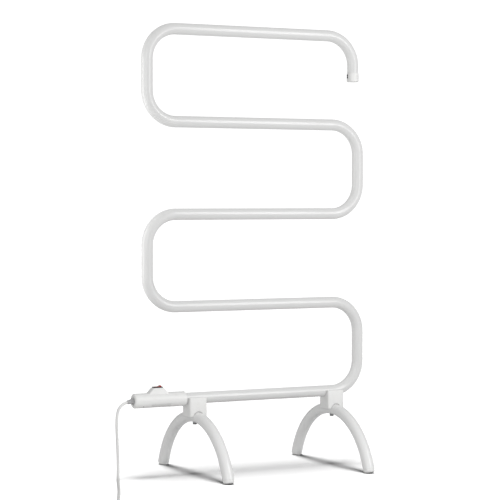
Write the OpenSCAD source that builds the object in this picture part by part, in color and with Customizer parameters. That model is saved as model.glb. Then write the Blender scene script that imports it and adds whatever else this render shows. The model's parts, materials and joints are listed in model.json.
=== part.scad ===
// Free-standing electric towel warmer: one heated serpentine tube on two bent-tube arches.
// Millimetres, +Z up, floor at z = 0, rails along X, arches along Y.

/* [Rack] */
// Overall height, floor to the top of the highest rail
rack_h = 1002; // [900:1:1150]
// Overall width over the bends
rack_w = 560; // [480:1:700]
// Height of the bottom rail's axis above the floor
rail_z = 170; // [160:1:200]
// Centreline radius of the rail bends
bend_r = 68; // [55:1:75]
// Drop of the free end below the top rail's axis
end_drop = 104; // [90:1:130]
// How far the free end stands in from the right-hand bends
end_inset = 13; // [5:1:40]

/* [Tube] */
// Outside diameter of every tube
tube_od = 25.4; // [22:0.1:32]
// Wall of every tube
tube_wall = 1.2; // [0.9:0.1:1.8]
// Diameter of the heating cable inside the rail
heater_d = 5.2; // [4:0.1:7]

/* [Stand] */
// Distance from the left column's axis to the left arch
left_stand_inset = 115.4; // [110:0.1:160]
// Distance between the middles of the two feet of an arch
foot_span = 341; // [280:1:400]
// Plastic between the rail and the arch in a bracket
saddle_web = 15.9; // [12:0.1:22]
// Bracket size along the rail
bracket_w = 42; // [34:1:50]
// Bracket size across the rail
bracket_d = 41; // [34:1:50]
// Lip of the bracket above the rail's axis
saddle_lip = 2; // [0:0.5:5]
// Visible length of a foot cap along the leg
foot_cap_h = 8.5; // [6.5:0.5:10]
// Thread diameter of the stand bolts
bolt_d = 5; // [4:0.5:6]
// Across-flats size of the stand bolts' heads
bolt_head_af = 8; // [7:0.5:10]

/* [End cap] */
// Height of the cap on the rail's free end
end_cap_h = 20; // [16:1:30]
// Wall of that cap
end_cap_wall = 1; // [0.8:0.1:2]
// Thread diameter of the two cap screws
cap_screw_d = 3; // [2:0.5:3.5]

/* [Control housing] */
// Plastic over the rail where it enters the housing
housing_cover = 3.65; // [2.5:0.05:5]
// Wall of the housing shells
housing_wall = 2.2; // [1.6:0.1:2.6]
// Length of the housing
housing_len = 124; // [118:1:150]
// How far the housing reaches past the left column's axis
housing_reach = 34.7; // [20:0.1:60]
// Length of the rail's end inside the housing
rail_grip = 28; // [22:1:32]
// Across-corner rounding of the housing's cord end
housing_round = 4; // [1:0.5:5]

/* [Switch] */
// Bezel length along the rail
bezel_l = 21; // [20:0.5:24]
// Bezel width across the rail
bezel_w = 15; // [14.5:0.5:17]
// Bezel thickness
bezel_t = 2; // [1.5:0.1:2.5]
// Distance from the housing's cord end to the switch's middle
switch_at = 59; // [56:1:64]
// Height of the switch seat above the housing's axis
seat_h = 27.3; // [27:0.1:32]
// Swing of the rocker from one stop to the other, degrees
rocker_swing = 22; // [16:1:24]
// Diameter of the rocker's trunnions
trunnion_d = 3; // [2:0.1:3.4]

/* [Cord] */
// Outside diameter of the mains cord
cord_d = 6; // [5:0.1:8]
// Droop of the strain relief's tail, degrees
relief_droop = 8; // [0:1:15]
// Length of the strain relief's tail outside the housing
relief_tail = 14; // [10:1:20]

/* [Hidden] */
$fn = 48;

// Clearances and small allowances
fit = 0.1;        // seat of one fixed piece in another, on the radius
thread_gap = 0.05; // screw or bolt in its thread, on the radius
pin_gap = 0.05;   // trunnion in its bearing, on the radius
swing_gap = 0.3;  // rocker beside its walls
over = 1;         // how far a cut runs past the face it opens

// Rail
tube_r = tube_od / 2;
bore_r = tube_r - tube_wall;
col_x = rack_w / 2 - tube_r;
top_z = rack_h - tube_r;
pitch = (top_z - rail_z) / 4;
end_x = col_x - end_inset;
free_end_z = top_z - end_drop + 2;

// Housing, measured from its cord end along the rail
axis_z = rail_z;
housing_r = tube_r + housing_cover;
cavity_r = housing_r - housing_wall;
housing_x = -col_x - housing_reach;
collar_len = 18;
end_wall = 5;
relief_recess = 2.5;
relief_recess_r = 9.5;
relief_r = 6;
relief_tip_r = 4;
rail_end_x = housing_x + housing_len - rail_grip;
switch_x = housing_x + switch_at;

// The whole object's box is centred on x = 0
relief_reach = relief_tail * cos(relief_droop) + relief_tip_r * sin(relief_droop);
box_shift = -(rack_w / 2 + housing_x - relief_reach) / 2;

// Stand
left_x = -col_x + left_stand_inset;
right_x = col_x - bend_r;
arch_z = rail_z - tube_od - saddle_web;
arch_r = (arch_z * arch_z + foot_span * foot_span / 4) / (2 * arch_z);
arch_low = arch_r - arch_z;
foot_angle = acos(arch_low / arch_r) - foot_cap_h / arch_r * 180 / PI;
bracket_top = rail_z + saddle_lip;
bracket_bottom = arch_z + 1.5;

// Stand bolts, rivet nuts and washers
washer_r = bolt_d;
washer_t = 1;
bolt_head_t = 4;
nut_r = bolt_d / 2 + 1;
nut_flange_r = nut_r + 2;
nut_flange_t = 1.2;
nut_len = 9;
arch_inner_r = arch_r - tube_r;
washer_top = arch_z - tube_r - (arch_inner_r - sqrt(arch_inner_r * arch_inner_r - washer_r * washer_r)) - 0.05;
bolt_tip = rail_z - bore_r + 5.5;

// ---------- helpers ----------

function unit(v) = v / norm(v);

// Rings of a tube swept through points; ref is never parallel to the route
function ring_at(p, t, ref, r, n) =
    let (a = unit(cross(ref, t)), b = cross(t, a))
    [for (i = [0:n - 1]) p + r * (a * cos(360 * i / n) + b * sin(360 * i / n))];

function heading(p, i) = unit(p[min(i + 1, len(p) - 1)] - p[max(i - 1, 0)]);

module swept_tube(p, r, n, ref) {
    last = len(p) - 1;
    points = [for (i = [0:last]) each ring_at(p[i], heading(p, i), ref, r, n)];
    sides = [for (k = [0:last - 1], i = [0:n - 1])
        let (a = k * n + i, b = k * n + (i + 1) % n)
        each [[a, a + n, b + n], [a, b + n, b]]];
    ends = [[for (i = [0:n - 1]) i], [for (i = [n - 1:-1:0]) last * n + i]];
    polyhedron(points, concat(sides, ends), convexity = 8);
}

// Moves a piece from the rack's own middle to the middle of the whole object's box
module placed() {
    translate([box_shift, 0, 0])
        children();
}

// Round elbow of the rail: starts at the origin along +Z, positive turns towards +X
module elbow(turn, r) {
    side = turn > 0 ? 1 : -1;
    translate([side * bend_r, 0, 0])
        rotate([90, 0, 0])
            rotate([0, 0, turn > 0 ? 180 - turn : 0])
                rotate_extrude(angle = abs(turn))
                    translate([bend_r, 0])
                        circle(r = r);
}

// Tube of radius r along [straight length, turn] steps, each from where the last one ends
module bent_tube(steps, r, i = 0) {
    straight = steps[i][0];
    turn = steps[i][1];
    side = turn > 0 ? 1 : -1;
    cylinder(h = straight, r = r);
    if (i < len(steps) - 1)
        translate([0, 0, straight]) {
            elbow(turn, r);
            translate([side * bend_r, 0, 0])
                rotate([0, turn, 0])
                    translate([-side * bend_r, 0, 0])
                        bent_tube(steps, r, i + 1);
        }
}

// Cylinder along +X
module rod_x(x, len, r) {
    translate([x, 0, 0])
        rotate([0, 90, 0])
            cylinder(h = len, r = r);
}

// Rectangle with round corners, centred
module round_rect(w, d, r) {
    square([w - 2 * r, d], center = true);
    square([w, d - 2 * r], center = true);
    for (x = [-1, 1], y = [-1, 1])
        translate([x * (w / 2 - r), y * (d / 2 - r)])
            circle(r = r);
}

// Ring of a profile (radius, distance along +X) turned about the housing's axis;
// 0 degrees is straight down and 90 is +Y
module turned(a1, a2) {
    translate([housing_x, 0, axis_z])
        rotate([0, 90, 0])
            rotate([0, 0, a1])
                rotate_extrude(angle = a2 - a1, $fn = 96)
                    children();
}

// ---------- the heated rail ----------

run_x = col_x - bend_r;
column = pitch - 2 * bend_r;

// The whole route at radius r, from start_x on the bottom rail to end_z at the free end;
// a positive turn is clockwise as seen from the front
module serpentine(r, start_x, end_z) {
    translate([start_x, 0, rail_z])
        rotate([0, 90, 0])
            bent_tube([[run_x - start_x, -90],
                       [column, -90], [2 * run_x, 90], [column, 90],
                       [2 * run_x, -90],
                       [column, -90], [2 * run_x, 90], [column, 90],
                       [run_x + end_x - bend_r, 90],
                       [top_z - bend_r - end_z, 0]], r);
}

cap_screw_z = [free_end_z + 8, free_end_z + 12.65];
earth_x = rail_end_x + 6;
// Heating cable: how far it comes out of the rail, and how far it stops short of the free end
cable_out = 6;
cable_short = 24;
earth_rivet_r = 1.6;

module cap_screw_holes(r) {
    for (z = cap_screw_z)
        translate([end_x, 0, z])
            rotate([0, -90, 0])
                cylinder(h = tube_r + 2 * over, r = r);
}

module rail_tube() {
    color("white")
        placed()
            difference() {
                serpentine(tube_r, rail_end_x, free_end_z);
                serpentine(bore_r, rail_end_x - over, free_end_z - over);
                for (x = [left_x, right_x])
                    translate([x, 0, rail_z - tube_r - over])
                        cylinder(h = tube_r, r = nut_r + fit);
                translate([earth_x, 0, rail_z - tube_r - over])
                    cylinder(h = tube_r, r = earth_rivet_r + thread_gap);
                cap_screw_holes(cap_screw_d / 2 + thread_gap);
            }
}

module heating_cable() {
    color("firebrick")
        placed()
            serpentine(heater_d / 2, rail_end_x - cable_out, free_end_z + cable_short);
}

module end_cap() {
    outer = tube_r + end_cap_wall;
    floor_t = 2;
    soft = 2;
    color("white")
        placed()
            difference() {
                translate([end_x, 0, free_end_z - floor_t - fit])
                    rotate_extrude($fn = 96)
                        difference() {
                            union() {
                                square([outer - soft, end_cap_h]);
                                translate([0, soft])
                                    square([outer, end_cap_h - soft]);
                                translate([outer - soft, soft])
                                    circle(r = soft);
                            }
                            translate([-outer, -soft])
                                square([outer, end_cap_h]);
                            translate([0, floor_t])
                                square([tube_r + fit, end_cap_h]);
                        }
                cap_screw_holes(cap_screw_d / 2 + thread_gap);
            }
}

module end_cap_screws() {
    head_r = cap_screw_d * 0.7;
    head_t = 1.5;
    shank = 6;
    slot = 0.5;
    color("black")
        placed()
            for (z = cap_screw_z)
                translate([end_x - tube_r - end_cap_wall, 0, z])
                    difference() {
                        union() {
                            rotate([0, -90, 0])
                                cylinder(h = head_t, r = head_r);
                            rotate([0, 90, 0])
                                cylinder(h = shank, r = cap_screw_d / 2);
                        }
                        translate([-head_t, 0, 0])
                            cube([slot * 2, slot, head_r * 1.3], center = true);
                        translate([-head_t, 0, 0])
                            cube([slot * 2, head_r * 1.3, slot], center = true);
                    }
}

// ---------- the stand ----------

module rivet_nuts() {
    color("silver")
        placed()
            for (x = [left_x, right_x])
                translate([x, 0, rail_z - tube_r])
                    difference() {
                        union() {
                            translate([0, 0, -nut_flange_t])
                                cylinder(h = nut_flange_t, r = nut_flange_r);
                            cylinder(h = nut_len - nut_flange_t, r = nut_r);
                        }
                        translate([0, 0, -nut_flange_t - over])
                            cylinder(h = nut_len + 2 * over, r = bolt_d / 2 + thread_gap);
                    }
}

// Saddle block: the rail lies in a trough on top and the arch in a channel below
module bracket(x) {
    corner = 4;
    color("whitesmoke")
        placed()
            translate([x, 0, 0])
                difference() {
                    translate([0, 0, bracket_bottom])
                        linear_extrude(bracket_top - bracket_bottom)
                            round_rect(bracket_w, bracket_d, corner);
                    translate([0, 0, rail_z])
                        rod_x(-bracket_w, 2 * bracket_w, tube_r + fit);
                    translate([-bracket_w, -tube_r - fit, rail_z])
                        cube([2 * bracket_w, 2 * (tube_r + fit), tube_od]);
                    translate([0, bracket_d, arch_z])
                        rotate([90, 0, 0])
                            cylinder(h = 2 * bracket_d, r = tube_r + fit);
                    translate([-tube_r - fit, -bracket_d, arch_z - tube_od])
                        cube([2 * (tube_r + fit), 2 * bracket_d, tube_od]);
                    translate([0, 0, arch_z])
                        cylinder(h = rail_z - arch_z, r = bolt_d / 2 + 2 * fit);
                    translate([0, 0, rail_z - tube_r - nut_flange_t - 2 * fit])
                        cylinder(h = tube_r, r = nut_flange_r + 2 * fit);
                }
}

module left_bracket() {
    bracket(left_x);
}

module right_bracket() {
    bracket(right_x);
}

// Arc of the arch at radius r, between two angles from its top (positive = +Y)
module arch_arc(r, a1, a2) {
    translate([0, 0, -arch_low])
        rotate([0, -90, 0])
            rotate([0, 0, a1])
                rotate_extrude(angle = a2 - a1, $fn = 96)
                    translate([arch_r, 0])
                        circle(r = r, $fn = 48);
}

module arch(x) {
    spare = 1;
    color("white")
        placed()
            translate([x, 0, 0])
                difference() {
                    arch_arc(tube_r, -foot_angle, foot_angle);
                    arch_arc(bore_r, -foot_angle - spare, foot_angle + spare);
                    translate([0, 0, arch_z - tube_od])
                        cylinder(h = 2 * tube_od, r = bolt_d / 2 + 2 * fit);
                }
}

module left_arch() {
    arch(left_x);
}

module right_arch() {
    arch(right_x);
}

// Rounded cap in the open end of a leg, cut flat on the floor; side is -1 at the front
module foot_cap(x, side) {
    round_r = 7;
    straight = 1.5;
    stem_angle = 4;
    seat_angle = 0.3;
    lean = 90 - foot_angle;
    color("white")
        placed()
            translate([x, 0, 0])
                difference() {
                    union() {
                        translate([0, side * arch_r * sin(foot_angle), arch_r * cos(foot_angle) - arch_low])
                            rotate([180 + side * lean, 0, 0])
                                rotate_extrude($fn = 96)
                                    intersection() {
                                        union() {
                                            square([tube_r, straight]);
                                            square([tube_r - round_r, straight + round_r]);
                                            translate([tube_r - round_r, straight])
                                                circle(r = round_r);
                                        }
                                        square([tube_r + 1, straight + round_r + 1]);
                                    }
                        arch_arc(bore_r - fit,
                                 side > 0 ? foot_angle - stem_angle : -foot_angle - seat_angle,
                                 side > 0 ? foot_angle + seat_angle : stem_angle - foot_angle);
                    }
                    translate([-tube_od, side * foot_span / 2 - tube_od, -tube_od])
                        cube([2 * tube_od, 2 * tube_od, tube_od]);
                }
}

module foot_front_left() {
    foot_cap(left_x, -1);
}

module foot_back_left() {
    foot_cap(left_x, 1);
}

module foot_front_right() {
    foot_cap(right_x, -1);
}

module foot_back_right() {
    foot_cap(right_x, 1);
}

module stand_bolts() {
    color("dimgray")
        placed()
            for (x = [left_x, right_x])
                translate([x, 0, washer_top - washer_t]) {
                    cylinder(h = bolt_tip - washer_top + washer_t, r = bolt_d / 2);
                    translate([0, 0, -bolt_head_t])
                        cylinder(h = bolt_head_t, r = bolt_head_af / 2 / cos(30), $fn = 6);
                }
}

module stand_washers() {
    color("silver")
        placed()
            for (x = [left_x, right_x])
                translate([x, 0, washer_top - washer_t])
                    difference() {
                        cylinder(h = washer_t, r = washer_r);
                        translate([0, 0, -over])
                            cylinder(h = washer_t + 2 * over, r = bolt_d / 2 + 2 * fit);
                    }
}

// ---------- the control housing ----------

screw_side = 9;
screw_near = 21;
screw_far = housing_len - collar_len - 17;
screw_r = 1.4;
screw_head_r = 2.1;
boss_r = 3.6;
// Housing screws: distance from the cord end, place across, head height below the axis
screw_spots = [[screw_near, -screw_side, 11.4], [screw_near, screw_side, 11.4], [screw_far, screw_side, 11.4]];
plate_from = 40;
plate_len = 46;
plate_half_angle = 63;
plate_t = 0.4;
plate_recess = 0.6;
// Cord clamp: distance from the cord end, its screws, and the saddle below it
clamp_at = 36;
clamp_side = 6.5;
clamp_screw_r = 1.2;
clamp_t = 3;
saddle_w = 7;
saddle_d = 22;

module housing_outline() {
    square([housing_r - housing_round, housing_len]);
    translate([0, housing_round])
        square([housing_r, housing_len - housing_round]);
    translate([housing_r - housing_round, housing_round])
        circle(r = housing_round);
}

// What the half profile leaves out: recess, relief hole, cavity and the rail's bore
module housing_hollow() {
    translate([0, -over])
        square([relief_recess_r, relief_recess + over]);
    translate([0, -over])
        square([relief_r + fit, end_wall + 2 * over]);
    translate([0, end_wall])
        square([cavity_r, housing_len - end_wall - collar_len]);
    translate([0, end_wall])
        square([tube_r + fit, housing_len]);
}

// Pillars for the screws, kept inside the housing's skin
module pillars(z1, z2) {
    intersection() {
        for (s = screw_spots)
            translate([housing_x + s[0], s[1], axis_z + z1])
                cylinder(h = z2 - z1, r = boss_r);
        translate([0, 0, axis_z])
            rod_x(housing_x, housing_len, housing_r - housing_wall / 2);
    }
}

boss_half_top = bezel_l / 2 + 1;
boss_half_w = bezel_w / 2 + 1.5;
body_l = bezel_l - 1.8;
body_w = bezel_w - 2;
body_h = 13;

// Raised seat of the switch, with a ramp at each end
module switch_seat() {
    ramp = seat_h - 11;
    translate([switch_x, boss_half_w, axis_z])
        rotate([90, 0, 0])
            linear_extrude(2 * boss_half_w)
                polygon([[-boss_half_top - ramp, 11], [-boss_half_top, seat_h],
                         [boss_half_top, seat_h], [boss_half_top + ramp, 11]]);
}

module housing_top() {
    pilot_top = 9;
    color("whitesmoke")
        placed()
            difference() {
                union() {
                    difference() {
                        union() {
                            turned(90, 270)
                                housing_outline();
                            switch_seat();
                        }
                        turned(89, 271)
                            housing_hollow();
                    }
                    pillars(0, cavity_r + 1);
                }
                translate([switch_x - body_l / 2 - fit, -body_w / 2 - fit, axis_z + 5])
                    cube([body_l + 2 * fit, body_w + 2 * fit, seat_h]);
                for (s = screw_spots)
                    translate([housing_x + s[0], s[1], axis_z - over])
                        cylinder(h = pilot_top + over, r = screw_r + thread_gap);
            }
}

module housing_bottom() {
    color("whitesmoke")
        placed()
            difference() {
                union() {
                    turned(-90, 90)
                        difference() {
                            housing_outline();
                            housing_hollow();
                        }
                    pillars(-cavity_r - 1, 0);
                    intersection() {
                        translate([housing_x + clamp_at - saddle_w / 2, -saddle_d / 2, axis_z - cavity_r - 1])
                            cube([saddle_w, saddle_d, cavity_r + 1 - cord_d / 2 - fit]);
                        translate([0, 0, axis_z])
                            rod_x(housing_x, housing_len, housing_r - housing_wall / 2);
                    }
                }
                for (s = screw_spots) {
                    translate([housing_x + s[0], s[1], axis_z - housing_r - over])
                        cylinder(h = housing_r - s[2] + over, r = screw_head_r + fit);
                    translate([housing_x + s[0], s[1], axis_z - housing_r])
                        cylinder(h = housing_r + over, r = screw_r + fit);
                }
                for (y = [-1, 1])
                    translate([housing_x + clamp_at, y * clamp_side, axis_z - cord_d / 2 - 5])
                        cylinder(h = 10, r = clamp_screw_r + thread_gap);
                turned(-plate_half_angle, plate_half_angle)
                    translate([housing_r - plate_recess, plate_from])
                        square([plate_recess + over, plate_len]);
            }
}

module housing_screws() {
    head_t = 1.8;
    reach = 8;
    color("dimgray")
        placed()
            for (s = screw_spots)
                translate([housing_x + s[0], s[1], axis_z - s[2]]) {
                    translate([0, 0, -head_t])
                        cylinder(h = head_t, r = screw_head_r);
                    cylinder(h = s[2] + reach, r = screw_r);
                }
}

// Blank plate that backs onto the recess under the housing
module rating_plate() {
    margin = 0.5;
    color("gainsboro")
        placed()
            turned(-plate_half_angle + 2, plate_half_angle - 2)
                translate([housing_r - plate_recess, plate_from + margin])
                    square([plate_t, plate_len - 2 * margin]);
}

// ---------- the switch ----------

pivot_z = axis_z + seat_h + bezel_t - 3;
rocker_r = bezel_l / 2 - 1.8;
rocker_half_w = bezel_w / 2 - 2.6;
well_half_l = rocker_r + swing_gap;
well_half_w = rocker_half_w + swing_gap;
well_floor = pivot_z - 8.8;
bearing_reach = body_w / 2 - 0.3;

module switch_body() {
    color("black")
        placed()
            translate([switch_x, 0, 0])
                difference() {
                    union() {
                        translate([0, 0, axis_z + seat_h])
                            linear_extrude(bezel_t)
                                round_rect(bezel_l, bezel_w, 1.5);
                        translate([-body_l / 2, -body_w / 2, axis_z + seat_h - body_h])
                            cube([body_l, body_w, body_h]);
                    }
                    translate([-well_half_l, -well_half_w, well_floor])
                        cube([2 * well_half_l, 2 * well_half_w, 20]);
                    translate([0, bearing_reach, pivot_z])
                        rotate([90, 0, 0])
                            cylinder(h = 2 * bearing_reach, r = trunnion_d / 2 + pin_gap);
                }
}

// Two-way rocker with a shallow V top, shown with its cord end pressed
module rocker() {
    valley = 2.6;
    crest = 4.8;
    crest_x = sqrt(rocker_r * rocker_r - crest * crest);
    color("darkred")
        placed()
            translate([switch_x, 0, pivot_z])
                rotate([0, -rocker_swing / 2, 0]) {
                    rotate([90, 0, 0])
                        translate([0, 0, -rocker_half_w])
                            linear_extrude(2 * rocker_half_w)
                                intersection() {
                                    circle(r = rocker_r, $fn = 96);
                                    polygon([[-rocker_r, -3], [rocker_r, -3], [rocker_r, crest],
                                             [crest_x, crest], [0, valley], [-crest_x, crest],
                                             [-rocker_r, crest]]);
                                }
                    translate([0, bearing_reach - fit, 0])
                        rotate([90, 0, 0])
                            cylinder(h = 2 * (bearing_reach - fit), r = trunnion_d / 2);
                }
}

blade_drop = 7;
blade_t = 0.8;
blade_gap = 6.5;
body_under = axis_z + seat_h - body_h;

module switch_blades() {
    blade_w = 4.8;
    color("gold")
        placed()
            for (x = [-blade_gap, 0, blade_gap])
                translate([switch_x + x - blade_t / 2, -blade_w / 2, body_under - blade_drop])
                    cube([blade_t, blade_w, blade_drop]);
}

module switch_lamp() {
    color("orange")
        placed()
            translate([switch_x, 3, well_floor + 1.5])
                rotate([90, 0, 0])
                    cylinder(h = 6, r = 1.4);
}

// ---------- wiring inside the housing ----------

block_w = 14;
block_l = 22;
block_h = 8;
block_x = switch_x - 8;
block_z = axis_z - sqrt(cavity_r * cavity_r - block_w * block_w / 4) + 0.3;
way_gap = 4.4;
way_z = block_z + 4;
block_screw_r = 1.3;
screw_inset = 5;
inner_end = housing_x + 44;
cutout_x = block_x + block_l + 4;
cutout_l = 8;
lead_r = 0.9;
butt = 0.05;

module terminal_block() {
    color("ivory")
        placed()
            difference() {
                translate([block_x, -block_w / 2, block_z])
                    cube([block_l, block_w, block_h]);
                for (y = [-way_gap, 0, way_gap]) {
                    translate([0, y, way_z])
                        rod_x(block_x - over, block_l + 2 * over, block_screw_r);
                    for (x = [screw_inset, block_l - screw_inset])
                        translate([block_x + x, y, way_z])
                            cylinder(h = block_h, r = block_screw_r + fit);
                }
            }
}

module terminal_screws() {
    sunk = 0.6;
    length = 2;
    color("silver")
        placed()
            for (y = [-way_gap, 0, way_gap], x = [screw_inset, block_l - screw_inset])
                translate([block_x + x, y, block_z + block_h - sunk - length])
                    cylinder(h = length, r = block_screw_r);
}

// Bimetal cut-out in the way of the heating cable
module thermal_cutout() {
    color("silver")
        placed()
            translate([0, 0, way_z])
                rod_x(cutout_x, cutout_l, 2.8);
}

module lead(points) {
    placed()
        swept_tube(points, lead_r, 8, [0.2, 1, 0.3]);
}

// Leads leave the sheath along the rail; butt is the gap where one meets its terminal
lead_start = inner_end + butt;

// Brown lead: cord to the switch's first blade
module live_lead() {
    blade = switch_x - blade_gap - blade_t / 2;
    color("saddlebrown")
        lead([[lead_start, 1.5, axis_z + 0.6], [lead_start + 1.5, 1.5, axis_z + 0.6],
              [lead_start + 3.5, 1.6, axis_z + 2.5], [blade - 3, 1.6, body_under - 5.4],
              [blade - 1, 1.6, body_under - 4]]);
}

// Blue lead: cord to the terminal block's middle way
module neutral_lead() {
    color("royalblue")
        lead([[lead_start, -1.5, axis_z + 0.6], [lead_start + 1.5, -1.5, axis_z + 0.6],
              [lead_start + 3.5, -0.9, axis_z - 1.5], [block_x - 1.5, 0, way_z],
              [block_x + 3, 0, way_z]]);
}

// Green and yellow lead: cord, past the block, to the tag on the rail's end
module earth_lead() {
    side = -block_w / 2 - 1.6;
    tag_top = axis_z - bore_r + 2.4;
    color("green")
        lead([[lead_start, 0, axis_z - 1.7], [lead_start + 1, 0, axis_z - 1.7],
              [lead_start + 2.5, -3.4, axis_z - 2.2], [block_x - 1, side, axis_z],
              [block_x + block_l, side, axis_z - 1], [cutout_x + cutout_l, -5.4, axis_z - 5],
              [earth_x - 9, -1, tag_top + 0.2], [earth_x - 5, 0, tag_top]]);
}

// High-temperature lead: terminal block, cut-out, heating cable
module heater_lead() {
    a = block_x + block_l;
    b = cutout_x + cutout_l + butt;
    cable = rail_end_x - cable_out - butt;
    color("dimgray") {
        lead([[a - 3, 0, way_z], [a, 0, way_z], [cutout_x - butt, 0, way_z]]);
        lead([[b, 0, way_z], [b + 1, 0, way_z], [cable - 1, 0, axis_z], [cable, 0, axis_z]]);
    }
}

tag_z = axis_z - bore_r + 0.4;
tag_t = 0.8;

module earth_tag() {
    color("gold")
        placed()
            difference() {
                translate([earth_x - 5, -2.5, tag_z])
                    cube([9, 5, tag_t]);
                translate([earth_x, 0, tag_z - over])
                    cylinder(h = tag_t + 2 * over, r = earth_rivet_r + thread_gap);
            }
}

module earth_rivet() {
    head_r = 2.4;
    color("silver")
        placed()
            translate([earth_x, 0, axis_z - tube_r + fit]) {
                cylinder(h = tag_z + tag_t - axis_z + tube_r, r = earth_rivet_r);
                translate([0, 0, tag_z + tag_t - axis_z + tube_r])
                    cylinder(h = 1, r = head_r);
            }
}

// Bar that holds the cord down on the saddle in the lower shell
bar_z = axis_z + cord_d / 2 + thread_gap;

module cord_clamp() {
    bar_w = 6;
    bar_d = 18;
    color("white")
        placed()
            difference() {
                translate([housing_x + clamp_at - bar_w / 2, -bar_d / 2, bar_z])
                    cube([bar_w, bar_d, clamp_t]);
                for (y = [-1, 1])
                    translate([housing_x + clamp_at, y * clamp_side, bar_z - over])
                        cylinder(h = clamp_t + 2 * over, r = clamp_screw_r + fit);
            }
}

module clamp_screws() {
    head_t = 1.3;
    head_r = 2.1;
    reach = 10;
    color("silver")
        placed()
            for (y = [-1, 1])
                translate([housing_x + clamp_at, y * clamp_side, bar_z + clamp_t]) {
                    cylinder(h = head_t, r = head_r);
                    translate([0, 0, -reach])
                        cylinder(h = reach, r = clamp_screw_r);
                }
}

// Ribbed grey sleeve moulded on the cord, with a flange inside the end wall
module strain_relief() {
    ribs = 4;
    step = relief_tail / ribs;
    color("gray")
        placed()
            translate([housing_x, 0, axis_z]) {
                rotate([0, 90, 0]) {
                    translate([0, 0, end_wall + fit])
                        cylinder(h = 2.5, r = relief_r + 2.5);
                    cylinder(h = end_wall + fit, r = relief_r);
                }
                rotate([0, -90 - relief_droop, 0]) {
                    translate([0, 0, -1])
                        cylinder(h = relief_tail + 1, r = relief_tip_r);
                    for (i = [0:ribs - 1])
                        translate([0, 0, i * step])
                            cylinder(h = step * 0.55, r = relief_r + 0.2 - i * 0.55);
                }
            }
}

module sheathed_end() {
    start = housing_x + end_wall + fit + 2.5;
    color("white")
        placed()
            translate([0, 0, axis_z])
                rod_x(start, inner_end - start, cord_d / 2);
}

// ---------- the mains cord ----------

cord_r = cord_d / 2;
// Middle of the storage coil, its turns' inner and outer centreline radii and its layers
coil_x = -445;
coil_y = -400.5;
coil_in = 21.5;
coil_out = 40.5;
layers = 2;
coil_h = layers * cord_d;

// From the strain relief down to the floor and forward to the coil
route = [
    [-297, 0, 168.2], [-303, 0, 166.8], [-308, 0, 164.4], [-312.5, 0, 161], [-316, 0, 156.8],
    [-318.7, 0, 151.8], [-321, 0, 143.5], [-322.4, 0, 133], [-322.7, 0, 120], [-322.3, 0, 105],
    [-321.6, 0, 90], [-320.9, 0, 75], [-320.2, 0, 60], [-319.8, 0, 46], [-319.8, -0.5, 34],
    [-320.6, -2.8, 23], [-323, -8, 13], [-327, -17, 6], [-332.5, -30, 3.1], [-338.5, -45, 3],
    [-344.5, -60, 3], [-351, -76, 3], [-357.5, -92, 3], [-364, -108, 3], [-370.5, -124, 3],
    [-377, -140, 3], [-383.5, -156, 3], [-390.5, -172, 3], [-397.5, -188, 3], [-404.5, -204, 3],
    [-411.5, -220, 3], [-418.5, -236, 3], [-425.5, -252, 3], [-432.5, -268, 3], [-439.5, -284, 3],
    [-446, -300, 3], [-452.5, -316, 3], [-459, -332, 3], [-465.5, -348, 3], [-472, -364, 3],
    [-478.5, -378, 3], [-484, -390, 3]
];

// From the coil's upper layer down into the plug
tail_route = [
    [-459.5, -438.3, 9], [-451, -442.5, 9.2], [-442, -445.5, 10], [-433, -448.5, 11],
    [-424, -450.6, 11.6], [-418, -451, 12]
];

module cord_run() {
    color("white")
        swept_tube(route, cord_r, 10, [0.92, -0.39, 0]);
}

module cord_coil() {
    soft = 3;
    color("white")
        translate([coil_x, coil_y, 0])
            rotate_extrude($fn = 96)
                translate([(coil_in + coil_out) / 2, coil_h / 2])
                    round_rect(coil_out - coil_in + cord_d, coil_h, soft);
}

// Band over all the turns
module coil_tie() {
    band_w = 7;
    band_t = 0.8;
    hole_r = coil_in - cord_r;
    bow = hole_r - sqrt(hole_r * hole_r - band_w * band_w / 4) + fit;
    span = coil_out + cord_r - hole_r + bow + fit;
    color("white")
        translate([coil_x + hole_r - bow, coil_y - band_w / 2, 0])
            difference() {
                translate([-band_t, 0, 0])
                    cube([span + 2 * band_t, band_w, coil_h + fit + band_t]);
                translate([0, -over, -over])
                    cube([span, band_w + 2 * over, coil_h + fit + over]);
            }
}

module cord_tail() {
    color("white")
        swept_tube(tail_route, cord_r, 10, [0, 0, 1]);
}

plug_x = -418;
plug_y = -451;
plug_z = 12;

// Moulded plug: tapered sleeve, grip and face, lying on its flat side
module plug_body() {
    grip_l = 26;
    sleeve = 12;
    half_h = plug_z;
    color("white")
        translate([plug_x, plug_y, plug_z]) {
            rotate([0, 90, 0])
                cylinder(h = sleeve, r1 = cord_r + 1, r2 = cord_r + 3.5, $fn = 64);
            translate([sleeve, -13, -half_h])
                difference() {
                    cube([grip_l, 26, 2 * half_h]);
                    for (y = [-1, 27])
                        translate([8, y, -over])
                            cylinder(h = 2 * half_h + 2 * over, r = 4);
                }
        }
}

// Two flat blades and the round earth pin
module plug_blades() {
    face_x = plug_x + 38;
    color("silver") {
        for (y = [-1, 1])
            translate([face_x, plug_y + y * 6.35 - 0.75, plug_z - 3 - 3.2])
                cube([16, 1.5, 6.4]);
        translate([face_x, plug_y, plug_z + 6])
            rotate([0, 90, 0])
                cylinder(h = 19, r = 2.4);
    }
}

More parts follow.
